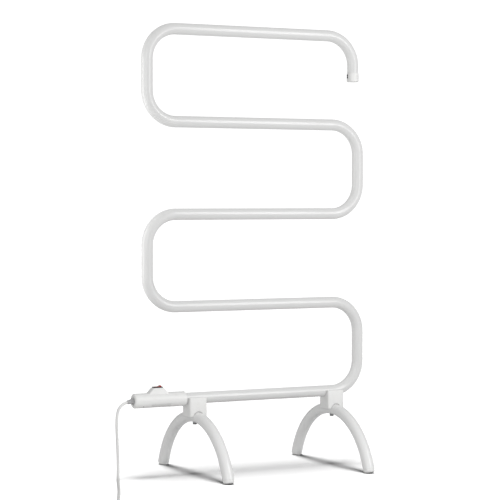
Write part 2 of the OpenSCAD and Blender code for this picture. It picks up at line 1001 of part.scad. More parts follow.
rail_tube();
heating_cable();
end_cap();
end_cap_screws();
rivet_nuts();
left_bracket();
right_bracket();
left_arch();
right_arch();
foot_front_left();
foot_back_left();
foot_front_right();
foot_back_right();
stand_bolts();
stand_washers();
housing_top();
housing_bottom();
housing_screws();
rating_plate();
switch_body();
rocker();
switch_blades();
switch_lamp();
terminal_block();
terminal_screws();
thermal_cutout();
live_lead();
neutral_lead();
earth_lead();
heater_lead();
earth_tag();
earth_rivet();
cord_clamp();
clamp_screws();
strain_relief();
sheathed_end();
cord_run();
cord_coil();
coil_tie();
cord_tail();
plug_body();
plug_blades();
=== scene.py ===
# %% [markdown]
# # A free-standing towel warmer
#
# One heated steel tube is bent into five rails and stands on two bent-tube arches. A plastic
# housing on the lowest rail holds the switch and the mains cord. The pieces of the stand, their
# places and the switch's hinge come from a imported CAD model, which is loaded first. This script
# gives every visible piece a finished mesh and every piece a finished surface.

# %% Load the frame
import json
import math
from contextlib import contextmanager

import bmesh
import bpy
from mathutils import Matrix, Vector


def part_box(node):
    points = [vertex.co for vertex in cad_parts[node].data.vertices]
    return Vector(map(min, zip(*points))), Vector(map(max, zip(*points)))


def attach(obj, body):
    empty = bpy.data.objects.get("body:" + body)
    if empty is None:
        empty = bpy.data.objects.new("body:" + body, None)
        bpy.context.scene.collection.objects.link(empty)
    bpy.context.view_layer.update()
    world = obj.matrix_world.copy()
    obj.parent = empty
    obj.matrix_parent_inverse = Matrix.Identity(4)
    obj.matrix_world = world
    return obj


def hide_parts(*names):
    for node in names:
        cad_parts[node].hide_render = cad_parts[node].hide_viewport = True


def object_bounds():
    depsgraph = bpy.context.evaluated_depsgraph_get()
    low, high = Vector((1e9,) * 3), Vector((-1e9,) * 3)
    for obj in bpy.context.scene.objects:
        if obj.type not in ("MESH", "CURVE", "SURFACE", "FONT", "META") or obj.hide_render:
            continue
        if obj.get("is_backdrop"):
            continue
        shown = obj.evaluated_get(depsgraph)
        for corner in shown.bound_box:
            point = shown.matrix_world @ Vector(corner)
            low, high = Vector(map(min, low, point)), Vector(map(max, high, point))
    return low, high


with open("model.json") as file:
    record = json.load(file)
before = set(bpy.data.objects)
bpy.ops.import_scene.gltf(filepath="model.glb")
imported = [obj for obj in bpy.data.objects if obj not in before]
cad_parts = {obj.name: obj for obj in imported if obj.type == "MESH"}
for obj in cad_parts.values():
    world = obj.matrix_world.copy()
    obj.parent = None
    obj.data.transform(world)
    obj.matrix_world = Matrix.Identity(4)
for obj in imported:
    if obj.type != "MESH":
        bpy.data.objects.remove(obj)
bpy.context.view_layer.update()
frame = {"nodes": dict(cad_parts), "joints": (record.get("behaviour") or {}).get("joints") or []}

# %% [markdown]
# ## Sizes
#
# Blender works in metres here, in the same frame as the CAD model, so a piece goes where the CAD
# says. Most sizes are read from the boxes of the CAD nodes. The few that a box can't give, such as
# the radius of a bend, are named here once.

# %% Sizes from the CAD boxes
MM = 0.001


def middle(node):
    """The middle of a CAD node's box."""
    low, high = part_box(node)
    return (low + high) / 2


rail_low, rail_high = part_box("rail_tube")
TUBE_R = (rail_high.y - rail_low.y) / 2
TUBE_WALL = 1.2 * MM
BEND_R = 68 * MM
RACK_X = (rail_low.x + rail_high.x) / 2
COLUMN = (rail_high.x - rail_low.x) / 2 - TUBE_R
RAIL_Z = rail_low.z + TUBE_R
TOP_Z = rail_high.z - TUBE_R
PITCH = (TOP_Z - RAIL_Z) / 4
FREE_END = middle("end_cap")
ARCH_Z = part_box("left_arch")[1].z - TUBE_R
FOOT_SPAN = 341 * MM
ARCH_R = (ARCH_Z ** 2 + FOOT_SPAN ** 2 / 4) / (2 * ARCH_Z)
ARCH_LOW = ARCH_R - ARCH_Z
print("tube", round(TUBE_R / MM, 2), "pitch", round(PITCH / MM, 2), "arch", round(ARCH_R / MM, 2))

# %% [markdown]
# ## The camera
#
# A long lens from well back keeps the rails almost parallel, as a catalogue does. The camera
# stands to the left of the rack and a little above its middle, and looks slightly down.

# %% Camera
CAMERA_AT = (-1.8775, -3.6758, 0.6126)
CAMERA_YAW = 27.115
CAMERA_PITCH = -1.585
LENS = 131.56

camera_data = bpy.data.cameras.new("studio_camera")
camera_data.lens = LENS
camera_data.sensor_width = 36
camera_data.clip_start = 0.1
camera_data.clip_end = 100
camera = bpy.data.objects.new("studio_camera", camera_data)
camera.location = CAMERA_AT
camera.rotation_euler = (math.radians(90 + CAMERA_PITCH), 0, math.radians(-CAMERA_YAW))
bpy.context.scene.collection.objects.link(camera)
bpy.context.scene.camera = camera
print("camera at", CAMERA_AT)

# %% [markdown]
# ## Helpers for modelling by hand
#
# Blender's operators act on whatever is selected and active, as if a hand had clicked it. These
# helpers make that state explicit: one opens edit mode on a piece, one selects by place, one
# applies a modifier, and one puts a piece that was modelled at the origin where it belongs.

# %% Select, edit and place
def only(piece):
    """Selects one piece and makes it the active one."""
    bpy.ops.object.select_all(action="DESELECT")
    piece.select_set(True)
    bpy.context.view_layer.objects.active = piece


@contextmanager
def editing(piece):
    """Edit mode on one piece, in vertex mode and with all of it selected at the start."""
    only(piece)
    bpy.ops.object.mode_set(mode="EDIT")
    bpy.ops.mesh.select_mode(type="VERT")
    bpy.ops.mesh.select_all(action="SELECT")
    yield piece
    bpy.ops.object.mode_set(mode="OBJECT")


def pick(piece, kind, test):
    """In edit mode, selects the VERT, EDGE or FACE elements whose middle passes a test."""
    bpy.ops.mesh.select_mode(type=kind)
    bpy.ops.mesh.select_all(action="DESELECT")
    mesh = bmesh.from_edit_mesh(piece.data)
    elements = {"VERT": mesh.verts, "EDGE": mesh.edges, "FACE": mesh.faces}[kind]
    for element in elements:
        corners = [element.co] if kind == "VERT" else [v.co for v in element.verts]
        if test(sum(corners, Vector()) / len(corners), element):
            element.select_set(True)
    mesh.select_flush_mode()
    bmesh.update_edit_mesh(piece.data)


def start(name):
    """Names the primitive that was just added, and returns it."""
    piece = bpy.context.active_object
    piece.name = name
    piece.data.name = name
    return piece


def place(piece, at=(0, 0, 0), turn=(0, 0, 0)):
    """Turns a piece by XYZ angles in degrees, moves it, and puts both into its mesh."""
    only(piece)
    piece.rotation_euler = [math.radians(a) for a in turn]
    piece.location = at
    bpy.ops.object.transform_apply(location=True, rotation=True, scale=True)
    return piece


def apply(piece, kind, **settings):
    """Adds a modifier, sets it and applies it."""
    only(piece)
    modifier = piece.modifiers.new(kind.lower(), kind)
    for key, value in settings.items():
        setattr(modifier, key, value)
    bpy.ops.object.modifier_apply(modifier=modifier.name)
    return piece


def soften(piece, width, segments=3, angle=30):
    """Rounds the edges that turn by more than an angle, as a mould or a die does."""
    return apply(piece, "BEVEL", width=width, segments=segments, limit_method="ANGLE",
                 angle_limit=math.radians(angle), use_clamp_overlap=True)


def cut(piece, *tools, operation="DIFFERENCE"):
    """Cuts or adds other solids with Boolean modifiers, and removes those solids."""
    for tool in tools:
        apply(piece, "BOOLEAN", object=tool, operation=operation, solver="EXACT")
        bpy.data.objects.remove(tool)
    return piece


print("helpers ready")

# %% [markdown]
# ## A lathe
#
# Caps, feet, screws and the housing are round, so they are turned like pieces on a lathe. One
# vertex is extruded along half of the section, and Spin carries that outline round the Z axis.
# Two or three extra points at each corner give a small rounding that catches the light.

# %% Turn an outline
def arc(centre, radius, first, last, steps=6):
    """Points of an arc in the (radius, height) plane, between two angles in degrees."""
    points = []
    for i in range(steps + 1):
        a = math.radians(first + (last - first) * i / steps)
        points.append((centre[0] + radius * math.cos(a), centre[1] + radius * math.sin(a)))
    return points


def turned(name, outline, steps=64, sweep=360.0, closed=False):
    """A solid turned about Z from (radius, height) points; closed joins the last to the first."""
    bpy.ops.object.select_all(action="DESELECT")
    bpy.ops.mesh.primitive_plane_add(size=MM)
    piece = start(name)
    path = outline + [outline[0]] if closed else outline
    with editing(piece):
        bpy.ops.mesh.merge(type="CENTER")
        bpy.ops.transform.translate(value=(path[0][0], 0, path[0][1]))
        for a, b in zip(path, path[1:]):
            step = (b[0] - a[0], 0, b[1] - a[1])
            bpy.ops.mesh.extrude_vertices_move(TRANSFORM_OT_translate={"value": step})
        bpy.ops.mesh.select_all(action="SELECT")
        bpy.ops.mesh.remove_doubles(threshold=MM / 1000)
        if sweep < 360:
            bpy.ops.mesh.edge_face_add()
        bpy.ops.mesh.spin(steps=steps, angle=math.radians(sweep), center=(0, 0, 0), axis=(0, 0, 1))
        bpy.ops.mesh.select_all(action="SELECT")
        bpy.ops.mesh.remove_doubles(threshold=MM / 1000)
        bpy.ops.mesh.normals_make_consistent(inside=False)
    return piece


def block(name, size, at=(0, 0, 0)):
    """A cube primitive of a size, with its middle at a place."""
    bpy.ops.object.select_all(action="DESELECT")
    bpy.ops.mesh.primitive_cube_add(size=1)
    piece = start(name)
    piece.scale = size
    return place(piece, at)


def bar(name, radius, length, at, turn=(0, 0, 0), sides=64):
    """A cylinder primitive, with its middle at a place."""
    bpy.ops.object.select_all(action="DESELECT")
    bpy.ops.mesh.primitive_cylinder_add(vertices=sides, radius=radius, depth=length)
    return place(start(name), at, turn)


print("lathe ready")

# %% [markdown]
# ## Shader maths as plain expressions
#
# A material is a small tree of nodes. Writing each Math node by hand hides what it works out, so
# one class wraps a socket: an expression such as 0.2 + 0.1 * dust adds the Math nodes for it.
# Another class holds one material and adds every other node.

# %% Wire and Finish
class Wire:
    """One output socket, with arithmetic that adds Math nodes."""

    def __init__(self, finish, socket):
        self.finish = finish
        self.socket = socket

    def maths(self, operation, first, second):
        return self.finish.node("ShaderNodeMath", {"operation": operation}, {0: first, 1: second})

    def __add__(self, other):
        return self.maths("ADD", self, other)

    def __radd__(self, other):
        return self.maths("ADD", other, self)

    def __sub__(self, other):
        return self.maths("SUBTRACT", self, other)

    def __rsub__(self, other):
        return self.maths("SUBTRACT", other, self)

    def __mul__(self, other):
        return self.maths("MULTIPLY", self, other)

    def __rmul__(self, other):
        return self.maths("MULTIPLY", other, self)


class Finish:
    """A material under construction around one Principled shader."""

    def __init__(self, name, **constants):
        self.material = bpy.data.materials.new(name)
        self.material.use_nodes = True
        self.tree = self.material.node_tree
        self.shader = self.tree.nodes["Principled BSDF"]
        for key, value in constants.items():
            self.shader.inputs[key.replace("_", " ")].default_value = value
        self.place = self.node("ShaderNodeTexCoord", {}, {}, "Object")

    def plug(self, socket, value):
        if isinstance(value, Wire):
            self.tree.links.new(value.socket, socket)
        else:
            socket.default_value = value

    def node(self, kind, settings, sockets, output=0):
        """Adds a node, sets its settings first and its sockets after them."""
        made = self.tree.nodes.new(kind)
        for key, value in settings.items():
            if key == "stops":
                for element, (position, shade) in zip(made.color_ramp.elements, value):
                    element.position = position
                    element.color = (shade, shade, shade, 1)
            else:
                setattr(made, key, value)
        for key, value in sockets.items():
            self.plug(made.inputs[key], value)
        return Wire(self, made.outputs[output])

    def noise(self, scale, detail=2.0, roughness=0.5, place=None):
        """Noise from 0 to 1; the scale is in cells per metre."""
        sockets = {"Vector": place or self.place, "Scale": scale, "Detail": detail,
                   "Roughness": roughness}
        return self.node("ShaderNodeTexNoise", {}, sockets)

    def stretched(self, x, y, z):
        """Object coordinates with each axis scaled, for grain that runs one way."""
        return self.node("ShaderNodeMapping", {}, {"Vector": self.place, "Scale": (x, y, z)})

    def mask(self, wire, low, high):
        """0 below low and 1 above high, with a smooth step between them."""
        return self.node("ShaderNodeMapRange", {"interpolation_type": "SMOOTHSTEP"},
                         {"Value": wire, "From Min": low, "From Max": high})

    def mix(self, factor, first, second):
        """Blends two colours."""
        return self.node("ShaderNodeMix", {"data_type": "RGBA"},
                         {"Factor": factor, 6: first, 7: second}, 2)

    def set(self, **wires):
        for key, value in wires.items():
            self.plug(self.shader.inputs[key.replace("_", " ")], value)

    def bump(self, height, depth, strength=1.0):
        """Turns a height from 0 to 1 into a normal; the depth is in metres."""
        normal = self.node("ShaderNodeBump", {},
                           {"Height": height, "Distance": depth, "Strength": strength})
        self.set(Normal=normal)


def colour(red, green, blue):
    return (red, green, blue, 1.0)


print("shader helpers ready")

# %% [markdown]
# ## White powder coat
#
# The tube is steel with a thick baked powder coat. Up close such a coat is not flat: it has a
# faint ripple called orange peel, a millimetre or two across, and a much finer grain. The gloss
# is even, so the ripple does most of the work. A few hair scuffs come from years of towels.

# %% Powder coat
def powder_coat():
    coat = Finish("white_powder_coat", Coat_Weight=0.25, Coat_Roughness=0.12, Specular_IOR_Level=0.5)
    peel = coat.noise(520, detail=1.5)
    grain = coat.noise(2600, detail=3)
    tone = coat.noise(9, detail=3)
    scuffs = coat.mask(coat.noise(38, detail=5, roughness=0.62), 0.62, 0.74)
    clean = coat.mix(tone, colour(0.80, 0.80, 0.795), colour(0.84, 0.84, 0.835))
    worn = coat.mix(0.25 * scuffs, clean, colour(0.62, 0.61, 0.59))
    coat.set(Base_Color=worn, Roughness=0.22 + 0.05 * tone + 0.10 * scuffs + 0.04 * grain)
    coat.bump(0.75 * peel + 0.25 * grain, 0.00006)
    return coat.material


POWDER_COAT = powder_coat()
print(POWDER_COAT.name)

# %% [markdown]
# ## Moulded plastics
#
# The housing, brackets, feet, switch and wires are all moulded, and differ in colour, gloss and
# texture. One function makes them: a fine texture from the mould's steel, broad flow marks, and
# thin dust and handling marks that dull the gloss. Corners that hands rub are a little smoother,
# which the Pointiness of the surface finds.

# %% Moulded plastic
DUST = colour(0.55, 0.53, 0.50)


def moulded(name, light, dark, roughness, grain, depth, wear=0.2, rubbed=0.0, **constants):
    """Plastic of two close shades; grain is in cells per metre and depth in metres."""
    plastic = Finish(name, **constants)
    texture = plastic.noise(grain, detail=2)
    flow = plastic.noise(16, detail=3)
    marks = plastic.mask(plastic.noise(60, detail=5, roughness=0.62), 0.57, 0.75)
    body = plastic.mix(flow, light, dark)
    gloss = roughness + 0.05 * flow + 0.12 * marks + 0.05 * texture
    if rubbed:
        pointed = plastic.node("ShaderNodeNewGeometry", {}, {}, "Pointiness")
        gloss = gloss - rubbed * plastic.mask(pointed, 0.53, 0.62)
    plastic.set(Base_Color=plastic.mix(wear * marks, body, DUST), Roughness=gloss)
    plastic.bump(texture, depth)
    return plastic.material


HOUSING_PLASTIC = moulded("white_housing_plastic", colour(0.84, 0.84, 0.83), colour(0.79, 0.79, 0.78),
                          0.33, 2200, 0.00004, rubbed=0.08)
FOOT_PLASTIC = moulded("white_foot_plastic", colour(0.86, 0.86, 0.855), colour(0.82, 0.82, 0.81),
                       0.28, 1500, 0.00003, wear=0.35, rubbed=0.06)
SHEATH = moulded("white_cord_sheath", colour(0.80, 0.80, 0.79), colour(0.74, 0.74, 0.73),
                 0.42, 1300, 0.00006, wear=0.3)
RELIEF_RUBBER = moulded("grey_relief_rubber", colour(0.50, 0.50, 0.50), colour(0.42, 0.42, 0.43),
                        0.52, 2600, 0.00005, wear=0.25)
SWITCH_BLACK = moulded("black_switch_plastic", colour(0.012, 0.011, 0.010), colour(0.017, 0.016, 0.015),
                       0.42, 3200, 0.00005, wear=0.03, rubbed=0.06, Specular_IOR_Level=0.3)
SWITCH_RED = moulded("red_rocker_plastic", colour(0.42, 0.018, 0.012), colour(0.34, 0.014, 0.01),
                     0.20, 900, 0.00001, wear=0.04, Coat_Weight=0.4, Coat_Roughness=0.08)
MARK_WHITE = moulded("white_switch_marks", colour(0.8, 0.8, 0.8), colour(0.7, 0.7, 0.7),
                     0.5, 3000, 0.00002, wear=0.1)
PLATE_FILM = moulded("pale_plate_film", colour(0.76, 0.76, 0.75), colour(0.70, 0.70, 0.69),
                     0.30, 1900, 0.00002, wear=0.25)
NYLON = moulded("natural_nylon", colour(0.80, 0.78, 0.70), colour(0.74, 0.71, 0.62),
                0.45, 1700, 0.00004)
SILICONE = moulded("red_silicone", colour(0.36, 0.06, 0.04), colour(0.30, 0.05, 0.035),
                   0.55, 900, 0.00008)
WIRE_BROWN = moulded("brown_wire", colour(0.17, 0.07, 0.03), colour(0.14, 0.06, 0.025),
                     0.4, 1500, 0.00004)
WIRE_BLUE = moulded("blue_wire", colour(0.03, 0.10, 0.40), colour(0.025, 0.08, 0.34),
                    0.4, 1500, 0.00004)
LAMP_GLASS = moulded("amber_lamp_glass", colour(0.8, 0.3, 0.06), colour(0.7, 0.24, 0.05),
                     0.12, 700, 0.00001, wear=0.05, Transmission_Weight=0.6)
print("plastics", HOUSING_PLASTIC.name, FOOT_PLASTIC.name, SHEATH.name)

# %% [markdown]
# ## Two-coloured earth wire
#
# Earth wire is green with a yellow stripe. The wire runs mostly along X here, so bands across Y
# and Z from a Wave texture read as a stripe that winds round it.

# %% Earth wire
def earth_wire():
    wire = Finish("green_yellow_wire", Coat_Weight=0.1)
    band = wire.node("ShaderNodeTexWave", {"bands_direction": "DIAGONAL"},
                     {"Vector": wire.place, "Scale": 180.0, "Distortion": 1.5}, 1)
    stripe = wire.mask(band, 0.52, 0.58)
    tint = wire.mix(stripe, colour(0.03, 0.22, 0.04), colour(0.75, 0.62, 0.05))
    grain = wire.noise(1500)
    wire.set(Base_Color=tint, Roughness=0.38 + 0.1 * grain)
    wire.bump(grain, 0.00004)
    return wire.material


EARTH_WIRE = earth_wire()
print(EARTH_WIRE.name)

# %% [markdown]
# ## Metals
#
# Screws, washers and terminals are plated steel or brass. Their polish is broken by fine lines
# from cutting, by spots where the plating has dulled, and by bare bright corners on the blackened
# screws. Metallic stays near 1, and it is the roughness and the tint that vary.

# %% Plated metal
def plated(name, bright, dull, roughness, corner=None, metallic=1.0):
    metal = Finish(name)
    lines = metal.noise(900, detail=4, place=metal.stretched(1, 1, 9))
    spots = metal.mask(metal.noise(240, detail=5, roughness=0.65), 0.5, 0.72)
    tint = metal.mix(0.75 * spots, bright, dull)
    if corner:
        pointed = metal.node("ShaderNodeNewGeometry", {}, {}, "Pointiness")
        tint = metal.mix(0.7 * metal.mask(pointed, 0.54, 0.66), tint, corner)
    metal.set(Base_Color=tint, Roughness=roughness + 0.12 * lines + 0.16 * spots,
              Metallic=metallic - 0.15 * spots)
    metal.bump(lines, 0.00002)
    return metal.material


ZINC = plated("zinc_plate", colour(0.66, 0.67, 0.69), colour(0.45, 0.46, 0.47), 0.26)
BLACK_STEEL = plated("black_steel", colour(0.045, 0.045, 0.048), colour(0.03, 0.03, 0.03), 0.36,
                     corner=colour(0.25, 0.25, 0.25), metallic=0.8)
BRASS = plated("plain_brass", colour(0.78, 0.60, 0.28), colour(0.50, 0.37, 0.17), 0.24)
print("metals", ZINC.name, BLACK_STEEL.name, BRASS.name)

# %% [markdown]
# ## Finishing a piece
#
# Every piece ends the same way: smooth shading up to an angle, its finish, the body that it rides
# on, and the CAD node that it stands for.

# %% Finish a piece
def done(piece, material, slot, *nodes, body="rack", angle=30):
    only(piece)
    bpy.ops.object.shade_smooth_by_angle(angle=math.radians(angle))
    piece.data.materials.clear()
    piece.data.materials.append(material)
    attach(piece, body)
    if nodes:
        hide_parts(*nodes)
    faces = len(piece.data.polygons)
    print(piece.name, "faces", faces, "size mm", [round(x / MM, 1) for x in piece.dimensions])
    return piece


def copy_of(piece, name, shift):
    """A copy with its own mesh, moved by a shift."""
    twin = bpy.data.objects.new(name, piece.data.copy())
    twin.data.name = name
    twin.data.materials.clear()
    bpy.context.scene.collection.objects.link(twin)
    return place(twin, shift)


def joined(pieces, name):
    """Joins pieces into the first of them, under a new name."""
    only(pieces[0])
    for piece in pieces:
        piece.select_set(True)
    bpy.ops.object.join()
    pieces[0].name = name
    return pieces[0]


print("ready to model")

# %% [markdown]
# ## The mains cord
#
# A mains cord is a fixed length of something flexible. It leaves the strain relief, bends down
# under its own weight, and lies along the floor. The length that isn't needed is wound into a
# flat coil of two layers. A curve with a round bevel keeps it one smooth piece of one diameter,
# and the route's points are the same as the CAD model's.

# %% The cord's route
CORD_D = 6 * MM
ROUTE = [
    (-297, 0, 168.2), (-303, 0, 166.8), (-308, 0, 164.4), (-312.5, 0, 161), (-316, 0, 156.8),
    (-318.7, 0, 151.8), (-321, 0, 143.5), (-322.4, 0, 133), (-322.7, 0, 120), (-322.3, 0, 105),
    (-321.6, 0, 90), (-320.9, 0, 75), (-320.2, 0, 60), (-319.8, 0, 46), (-319.8, -0.5, 34),
    (-320.6, -2.8, 23), (-323, -8, 13), (-327, -17, 6), (-332.5, -30, 3.1), (-338.5, -45, 3),
    (-344.5, -60, 3), (-351, -76, 3), (-357.5, -92, 3), (-364, -108, 3), (-370.5, -124, 3),
    (-377, -140, 3), (-383.5, -156, 3), (-390.5, -172, 3), (-397.5, -188, 3), (-404.5, -204, 3),
    (-411.5, -220, 3), (-418.5, -236, 3), (-425.5, -252, 3), (-432.5, -268, 3), (-439.5, -284, 3),
    (-446, -300, 3), (-452.5, -316, 3), (-459, -332, 3), (-465.5, -348, 3), (-472, -364, 3),
    (-478.5, -378, 3), (-484, -390, 3),
]
TAIL = [
    (-459.5, -438.3, 9), (-451, -442.5, 9.2), (-442, -445.5, 10), (-433, -448.5, 11),
    (-424, -450.6, 11.6), (-418, -451, 12),
]
COIL_AT = (-445, -400.5)
COIL_OUT = 40.5
COIL_IN = 21.5
COIL_TURNS = 6.25
POINTS_A_TURN = 24


def coil_points():
    """The coil's turns: inwards on the floor, a low hump, then outwards on the first layer."""
    first = math.atan2(ROUTE[-1][1] - COIL_AT[1], ROUTE[-1][0] - COIL_AT[0])
    last = math.atan2(TAIL[0][1] - COIL_AT[1], TAIL[0][0] - COIL_AT[0])
    sweep = (last - first) % math.tau + math.floor(COIL_TURNS) * math.tau
    count = round(sweep / math.tau * POINTS_A_TURN)
    points = []
    for i in range(1, count):
        share = i / count
        radius = COIL_IN + (COIL_OUT - COIL_IN) * abs(1 - 2 * share)
        climb = min(1, max(0, (share - 0.45) / 0.1))
        height = CORD_D / MM * (0.5 + climb * climb * (3 - 2 * climb))
        angle = first + sweep * share
        points.append((COIL_AT[0] + radius * math.cos(angle),
                       COIL_AT[1] + radius * math.sin(angle), height))
    return points


cord_points = [Vector(p) * MM for p in ROUTE + coil_points() + TAIL]

# %% The cord as a curve
cord_data = bpy.data.curves.new("mains_cord", "CURVE")
cord_data.dimensions = "3D"
cord_data.bevel_depth = CORD_D / 2
cord_data.bevel_resolution = 6
cord_data.resolution_u = 3
cord_data.use_fill_caps = True
spline = cord_data.splines.new("NURBS")
spline.points.add(len(cord_points) - 1)
for point, at in zip(spline.points, cord_points):
    point.co = (*at, 1)
spline.order_u = 4
spline.use_endpoint_u = True
mains_cord = bpy.data.objects.new("mains_cord", cord_data)
bpy.context.scene.collection.objects.link(mains_cord)
cord_data.materials.append(SHEATH)
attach(mains_cord, "rack")
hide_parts("cord_run", "cord_coil", "cord_tail")
print(mains_cord.name, "made")

# %% [markdown]
# ## The plug and the tie
#
# The moulded plug has a waist for the fingers, and its face carries two flat blades and a round
# earth pin. The waist is cut with two cylinders, and Bevel rounds what a mould would round. The
# plug's sleeve tapers on to the cord in rings. A thin strap holds the turns of the coil.

# %% Plug
plug_low, plug_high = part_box("plug_body")
PLUG_GRIP = 26 * MM
SLEEVE = plug_high.x - plug_low.x - PLUG_GRIP
plug_y = (plug_low.y + plug_high.y) / 2
plug_z = (plug_low.z + plug_high.z) / 2
grip_x = plug_high.x - PLUG_GRIP

plug = block("plug_body_moulded", (PLUG_GRIP, plug_high.y - plug_low.y, plug_high.z - plug_low.z),
             (grip_x + PLUG_GRIP / 2, plug_y, plug_z))
waists = []
for side in (plug_low.y - MM, plug_high.y + MM):
    waists.append(bar("waist", 4 * MM, 40 * MM, (grip_x + 8 * MM, side, plug_z)))
cut(plug, *waists)
soften(plug, 2.2 * MM, segments=5)
rings = []
for i in range(5):
    z = i * SLEEVE / 5
    r = CORD_D / 2 + (1 + 2.5 * i / 5) * MM
    rings += [(r, z), (r + 0.35 * MM, z + 0.4 * MM), (r + 0.35 * MM, z + SLEEVE / 5 - 0.8 * MM),
              (r, z + SLEEVE / 5 - 0.4 * MM)]
sleeve = turned("sleeve", [(0, 0)] + rings + [(6.4 * MM, SLEEVE + 2 * MM), (0, SLEEVE + 2 * MM)],
                steps=40)
place(sleeve, (plug_low.x, plug_y, plug_z), (0, 90, 0))
cut(plug, sleeve, operation="UNION")
done(plug, SHEATH, "cord_white", "plug_body")

# %% Blades
blade_low, blade_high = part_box("plug_blades")
BLADE_LENGTH = 16 * MM
PIN_R = 2.4 * MM
blades = []
for side in (-1, 1):
    blade = block("plug_blade", (BLADE_LENGTH, 1.5 * MM, 6.4 * MM),
                  (blade_low.x + BLADE_LENGTH / 2, plug_y + side * 6.35 * MM, plug_z - 3 * MM))
    hole = bar("hole", 1.5 * MM, 4 * MM, (blade_low.x + 11 * MM, plug_y + side * 6.35 * MM,
                                          plug_z - 3 * MM), (90, 0, 0), sides=24)
    cut(blade, hole)
    soften(blade, 0.35 * MM, segments=2)
    blades.append(blade)
pin_length = blade_high.x - blade_low.x
pin = turned("plug_pin", [(0, 0), (PIN_R, 0), (PIN_R, pin_length - 2 * MM)]
             + arc((PIN_R - 2 * MM, pin_length - 2 * MM), 2 * MM, 0, 90)[1:] + [(0, pin_length)],
             steps=32)
place(pin, (blade_low.x, plug_y, plug_z + 6 * MM), (0, 90, 0))
done(joined([pin, *blades], "plug_pins"), BRASS, "brass", "plug_blades")

# %% Coil tie
tie_low, tie_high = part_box("coil_tie")
TIE_T = 0.8 * MM
tie_size = tie_high - tie_low
tie_at = (tie_low + tie_high) / 2
tie = block("coil_tie_strap", tie_size, tie_at)
opening = block("turns", (tie_size.x - 2 * TIE_T, 2 * tie_size.y, tie_size.z),
                tie_at - Vector((0, 0, TIE_T)))
cut(tie, opening)
buckle_at = (tie_high.x - 6 * MM, tie_at.y, tie_high.z + MM)
cut(tie, block("buckle", (6 * MM, 8.4 * MM, 2.4 * MM), buckle_at), operation="UNION")
cut(tie, block("buckle_slot", (7 * MM, 5 * MM, 0.9 * MM), buckle_at))
soften(tie, 0.25 * MM, segments=2)
done(tie, HOUSING_PLASTIC, "tie", "coil_tie")

# %% [markdown]
# ## The heated rail
#
# A tube bender makes this rail from one length of tube, and it is modelled the same way. A circle
# is the tube's end; Extrude pushes it along each straight, and Spin carries it round each bend.
# Rings every few centimetres keep the faces even. Solidify then gives the tube its steel wall.

# %% Bend the rail
RAIL_SIDES = 64
BEND_STEPS = 20
RING_GAP = 30 * MM
housing_low, housing_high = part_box("housing_bottom")
RUN = COLUMN - BEND_R
LEFT_BEND = RACK_X - RUN
RIGHT_BEND = RACK_X + RUN
END_BEND = FREE_END.x - BEND_R


def push(length, direction):
    """Extrudes the selected ring along a direction, with a ring every few centimetres."""
    count = max(1, round(length / RING_GAP))
    step = Vector(direction) * length / count
    for _ in range(count):
        bpy.ops.mesh.extrude_region_move(TRANSFORM_OT_translate={"value": step})


def bend(x, z, angle):
    """Spins the selected ring about a bend's centre; a positive angle turns +X up to +Z."""
    bpy.ops.mesh.spin(steps=BEND_STEPS, angle=math.radians(angle), center=(x, 0, z), axis=(0, 1, 0))


def ring(name, radius, at, turn):
    """An open circle of edges, the mouth of a tube that is about to be made."""
    bpy.ops.object.select_all(action="DESELECT")
    bpy.ops.mesh.primitive_circle_add(vertices=RAIL_SIDES, radius=radius)
    return place(start(name), at, turn)


RAIL_IN_HOUSING = 28 * MM
START_X = housing_high.x - RAIL_IN_HOUSING
FREE_END_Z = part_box("end_cap")[0].z + 2.1 * MM
rail = ring("heated_rail", TUBE_R, (START_X, 0, RAIL_Z), (0, 90, 0))
with editing(rail):
    height = RAIL_Z
    push(RIGHT_BEND - START_X, (1, 0, 0))
    for side in (1, -1, 1, -1):
        bend_x = RACK_X + side * RUN
        bend(bend_x, height + BEND_R, side * 90)
        push(PITCH - 2 * BEND_R, (0, 0, 1))
        bend(bend_x, height + PITCH - BEND_R, side * 90)
        height += PITCH
        if height < TOP_Z - BEND_R:
            push(2 * RUN, (-side, 0, 0))
    push(END_BEND - LEFT_BEND, (1, 0, 0))
    bend(END_BEND, TOP_Z - BEND_R, -90)
    push(TOP_Z - BEND_R - FREE_END_Z, (0, 0, -1))
    bpy.ops.mesh.select_all(action="SELECT")
    bpy.ops.mesh.remove_doubles(threshold=MM / 1000)
    bpy.ops.mesh.normals_make_consistent(inside=False)
apply(rail, "SOLIDIFY", thickness=TUBE_WALL, offset=-1)
done(rail, POWDER_COAT, "powder_coat", "rail_tube")

# %% [markdown]
# ## The arches
#
# Each arch is the same tube bent once to a single radius. The ring starts at the front foot and
# one Spin about the arch's centre, which lies below the floor, makes the whole leg pair.

# %% Bend the arches
FOOT_CAP_H = 8.5 * MM
FOOT_ANGLE = math.degrees(math.acos(ARCH_LOW / ARCH_R) - FOOT_CAP_H / ARCH_R)
ARCH_STEPS = 72


def leg_end(x, side):
    """The middle of the tube's mouth, where the foot cap plugs in."""
    a = math.radians(FOOT_ANGLE)
    return Vector((x, side * ARCH_R * math.sin(a), ARCH_R * math.cos(a) - ARCH_LOW))


for node in ("left_arch", "right_arch"):
    x = middle(node).x
    arch = ring(node + "_tube", TUBE_R, leg_end(x, -1), (FOOT_ANGLE - 90, 0, 0))
    with editing(arch):
        bpy.ops.mesh.spin(steps=ARCH_STEPS, angle=math.radians(2 * FOOT_ANGLE),
                          center=(x, 0, -ARCH_LOW), axis=(1, 0, 0))
        bpy.ops.mesh.select_all(action="SELECT")
        bpy.ops.mesh.remove_doubles(threshold=MM / 1000)
        bpy.ops.mesh.normals_make_consistent(inside=False)
    apply(arch, "SOLIDIFY", thickness=TUBE_WALL, offset=-1)
    done(arch, POWDER_COAT, "powder_coat", node)

